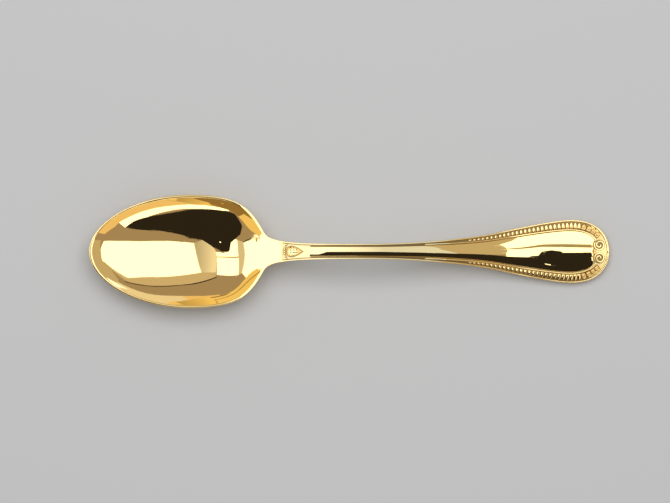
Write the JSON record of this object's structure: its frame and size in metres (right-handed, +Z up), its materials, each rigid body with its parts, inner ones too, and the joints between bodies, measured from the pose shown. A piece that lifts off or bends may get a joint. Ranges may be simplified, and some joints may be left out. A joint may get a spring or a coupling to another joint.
{
  "type": "teaspoon",
  "caption": "Teaspoon with an egg-shaped bowl and an arched, widening handle that has a struck tongue border, a smooth crowned panel and paired scrolls at its end, in polished gold plate.",
  "frame": {"origin": "on the table under the middle of the spoon's length and width", "axes": "+X from the bowl towards the end of the handle, +Y across the spoon to the left of that, +Z up out of the bowl"},
  "size_m": [0.14, 0.0304, 0.0133],
  "materials": {
    "gold_plate": "mirror polished",
    "gold_relief": "polished, darker in the recesses"
  },
  "bodies": {
    "root": {"bowl": "gold_plate", "handle": "gold_plate", "edge_rib": "gold_plate", "panel": "gold_plate", "panel_fillet": "gold_plate", "left_tongues": "gold_relief", "right_tongues": "gold_relief", "left_eggs": "gold_relief", "right_eggs": "gold_relief", "left_volute": "gold_relief", "right_volute": "gold_relief", "end_palmette": "gold_relief", "neck_pearls": "gold_relief", "neck_leaf": "gold_relief"}
  },
  "joints": []
}
